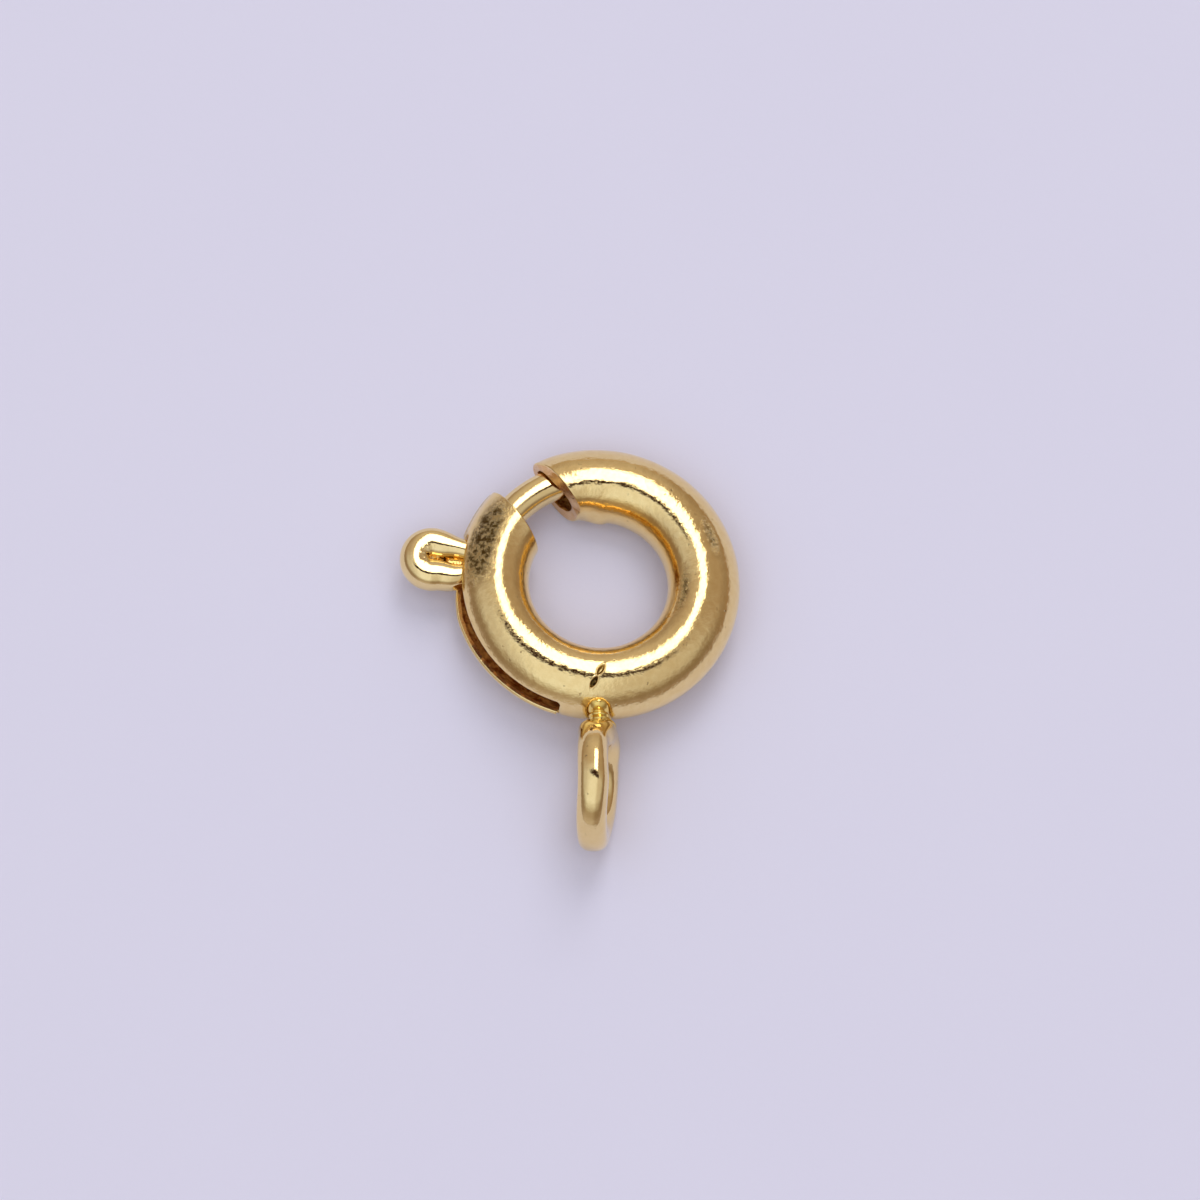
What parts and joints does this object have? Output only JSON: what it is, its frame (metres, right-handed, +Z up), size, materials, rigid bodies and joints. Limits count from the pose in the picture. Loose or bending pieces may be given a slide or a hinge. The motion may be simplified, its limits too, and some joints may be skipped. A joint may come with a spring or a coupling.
{
  "type": "spring ring clasp",
  "caption": "Spring ring clasp: a hollow ring whose gate is shut by a sprung wire tongue, with a folded thumb lever in a side slot and a fixed wire end loop.",
  "frame": {"origin": "centre of the ring's eye, on the ring's own axis and midway through its tube", "axes": "+Z up from the table it rests on, +Y from the end loop across the ring, +X away from the thumb lever; the ring's plane is pitched 5.2 degrees up towards the end loop, as the clasp rests by itself"},
  "size_m": [0.0072, 0.0089, 0.0028],
  "materials": {
    "gold_plate": "polished gold plating over brass",
    "gold_wire": "polished gold plating over brass wire",
    "spring_wire": "drawn bronze spring wire with a thin gold flash"
  },
  "bodies": {
    "ring": {"ring_body": "gold_plate", "end_loop": "gold_plate", "spring": "spring_wire"},
    "trigger": {"tongue": "gold_wire"}
  },
  "joints": [
    {"name": "lever_stroke", "type": "hinge", "parent": "ring", "child": "trigger", "pos_m": [0, 0, 0], "axis": [0, 0.0913, 0.9958], "range_deg": [0, 35.93], "stiffness_Nm_per_rad": 0.004, "deforming": ["spring"]}
  ]
}
